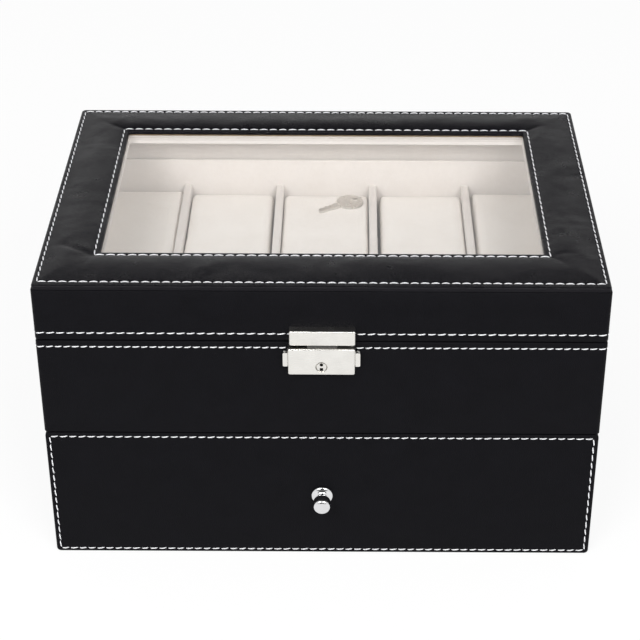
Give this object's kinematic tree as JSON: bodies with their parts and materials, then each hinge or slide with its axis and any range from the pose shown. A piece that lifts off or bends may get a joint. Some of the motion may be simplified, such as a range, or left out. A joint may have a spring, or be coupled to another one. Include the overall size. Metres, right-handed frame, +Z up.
{
  "type": "watch box with drawer",
  "caption": "Rectangular leather-covered watch box: glazed padded lid on a spring lock over a divided tray of watch pillows, with a pull-out drawer of pillows below.",
  "frame": {"origin": "on the table, under the middle of the case", "axes": "+X to the object's right as seen from the front, -Y towards the front with the drawer and lock, +Z up"},
  "size_m": [0.285, 0.216, 0.1669],
  "materials": {
    "felt": "matt black felt",
    "case_board": "plain fibreboard",
    "case_leather": "black grained leatherette, semi-matt",
    "tray_suede": "cream velvet suede",
    "divider_suede": "cream velvet suede over card",
    "lid_board": "plain fibreboard",
    "lid_leather": "black grained leatherette, semi-matt",
    "lid_suede": "cream velvet suede",
    "lid_foam": "soft foam",
    "window_glass": "clear polished glass",
    "hinge_nickel": "satin nickel plate",
    "lock_nickel": "satin nickel plate",
    "lock_steel": "bare pressed steel",
    "lock_brass": "nickel-plated brass",
    "screw_steel": "zinc-plated steel",
    "drawer_board": "plain fibreboard",
    "drawer_leather": "black grained leatherette, semi-matt",
    "drawer_suede": "cream velvet suede",
    "knob_chrome": "polished chrome",
    "pillow_suede": "cream velvet suede, stuffed",
    "key_nickel": "nickel plate"
  },
  "bodies": {
    "case": {"base_felt": "felt", "case_base": "case_board", "tray_deck": "case_board", "case_left_wall": "case_board", "case_right_wall": "case_board", "case_back_wall": "case_board", "case_front_fascia": "case_board", "case_leather": "case_leather", "tray_wall_lining": "tray_suede", "tray_floor_lining": "tray_suede", "tray_long_divider": "divider_suede", "tray_short_dividers": "divider_suede", "lock_back_plate": "lock_steel", "lock_case": "lock_nickel", "lock_screws": "screw_steel", "lock_springs": "lock_steel", "hinge_case_leaves": "hinge_nickel", "hinge_pins": "hinge_nickel", "hinge_case_screws": "screw_steel"},
    "lid": {"lid_front_rail": "lid_board", "lid_back_rail": "lid_board", "lid_left_rail": "lid_board", "lid_right_rail": "lid_board", "lid_window_frame": "lid_board", "lid_side_leather": "lid_leather", "lid_lining": "lid_suede", "lid_glass": "window_glass", "lid_cover_card": "lid_board", "lid_padding": "lid_foam", "lid_top_leather": "lid_leather", "striker_plate": "lock_nickel", "striker_screws": "screw_steel", "hinge_lid_leaves": "hinge_nickel", "hinge_lid_screws": "screw_steel"},
    "drawer": {"drawer_front_board": "drawer_board", "drawer_front_leather": "drawer_leather", "drawer_left_side": "drawer_board", "drawer_right_side": "drawer_board", "drawer_back_board": "drawer_board", "drawer_bottom": "drawer_board", "drawer_lining": "drawer_suede", "drawer_long_divider": "divider_suede", "drawer_short_dividers": "divider_suede", "drawer_knob": "knob_chrome", "drawer_knob_screw": "screw_steel", "drawer_pillows": "pillow_suede"},
    "lock_slide": {"lock_slider": "lock_steel"},
    "lock_core": {"lock_plug": "lock_brass", "lock_cam": "lock_steel"},
    "loose_key": {"key": "key_nickel"},
    "pillow_1": {"tray_pillow_1": "pillow_suede"},
    "pillow_2": {"tray_pillow_2": "pillow_suede"},
    "pillow_3": {"tray_pillow_3": "pillow_suede"},
    "pillow_4": {"tray_pillow_4": "pillow_suede"},
    "pillow_5": {"tray_pillow_5": "pillow_suede"},
    "pillow_6": {"tray_pillow_6": "pillow_suede"},
    "pillow_7": {"tray_pillow_7": "pillow_suede"},
    "pillow_8": {"tray_pillow_8": "pillow_suede"},
    "pillow_9": {"tray_pillow_9": "pillow_suede"},
    "pillow_10": {"tray_pillow_10": "pillow_suede"}
  },
  "joints": [
    {"name": "lid_hinge", "type": "hinge", "parent": "case", "child": "lid", "pos_m": [0, 0.1023, 0.1346], "axis": [-1, 0, 0], "range_deg": [0, 100]},
    {"name": "drawer_slide", "type": "slide", "parent": "case", "child": "drawer", "axis": [0, -1, 0], "range_m": [0, 0.15]},
    {"name": "lock_ears_press", "type": "slide", "parent": "case", "child": "lock_slide", "axis": [0, 0, -1], "range_m": [0, 0.003], "stiffness_N_per_m": 200, "springref_m": -0.002, "deforming": ["lock_springs"]},
    {"name": "lock_plug_turn", "type": "hinge", "parent": "case", "child": "lock_core", "pos_m": [0, -0.1, 0.1226], "axis": [0, -1, 0], "range_deg": [-90, 0]},
    {"name": "pillow_1_lift", "type": "slide", "parent": "case", "child": "pillow_1", "axis": [0, 0, 1], "range_m": [0, 0.02]},
    {"name": "pillow_2_lift", "type": "slide", "parent": "case", "child": "pillow_2", "axis": [0, 0, 1], "range_m": [0, 0.02]},
    {"name": "pillow_3_lift", "type": "slide", "parent": "case", "child": "pillow_3", "axis": [0, 0, 1], "range_m": [0, 0.02]},
    {"name": "pillow_4_lift", "type": "slide", "parent": "case", "child": "pillow_4", "axis": [0, 0, 1], "range_m": [0, 0.02]},
    {"name": "pillow_5_lift", "type": "slide", "parent": "case", "child": "pillow_5", "axis": [0, 0, 1], "range_m": [0, 0.02]},
    {"name": "pillow_6_lift", "type": "slide", "parent": "case", "child": "pillow_6", "axis": [0, 0, 1], "range_m": [0, 0.02]},
    {"name": "pillow_7_lift", "type": "slide", "parent": "case", "child": "pillow_7", "axis": [0, 0, 1], "range_m": [0, 0.02]},
    {"name": "pillow_8_lift", "type": "slide", "parent": "case", "child": "pillow_8", "axis": [0, 0, 1], "range_m": [0, 0.02]},
    {"name": "pillow_9_lift", "type": "slide", "parent": "case", "child": "pillow_9", "axis": [0, 0, 1], "range_m": [0, 0.02]},
    {"name": "pillow_10_lift", "type": "slide", "parent": "case", "child": "pillow_10", "axis": [0, 0, 1], "range_m": [0, 0.02]},
    {"name": "key_lift", "type": "slide", "parent": "pillow_8", "child": "loose_key", "axis": [0, 0, 1], "range_m": [0, 0.015]}
  ]
}
